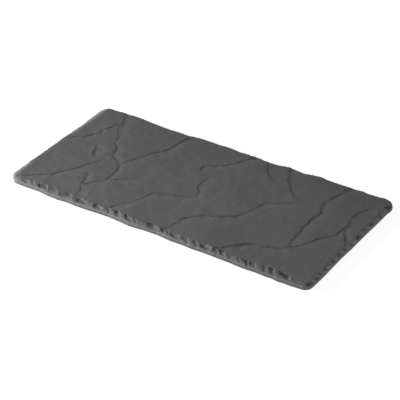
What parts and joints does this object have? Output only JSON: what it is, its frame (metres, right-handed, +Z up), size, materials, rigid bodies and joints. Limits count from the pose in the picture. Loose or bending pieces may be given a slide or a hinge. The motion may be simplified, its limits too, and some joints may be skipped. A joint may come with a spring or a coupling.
{
  "type": "serving tray",
  "caption": "Thin rectangular serving tray with a slate-like split relief, a chipped edge and stick-on non-slip feet.",
  "frame": {"origin": "middle of the tray's outline, on the surface that the feet stand on", "axes": "+X along the length, to the end that is nearer in the picture; -Y to the front long edge; +Z up"},
  "size_m": [0.25, 0.12, 0.0084],
  "materials": {
    "slate_ceramic": "matte",
    "foot_silicone": "matte",
    "adhesive": "satin"
  },
  "bodies": {
    "root": {"tray_slab": "slate_ceramic", "foot_front_left": "foot_silicone", "foot_rear_left": "foot_silicone", "foot_front_right": "foot_silicone", "foot_rear_right": "foot_silicone", "adhesive_front_left": "adhesive", "adhesive_rear_left": "adhesive", "adhesive_front_right": "adhesive", "adhesive_rear_right": "adhesive"}
  },
  "joints": []
}
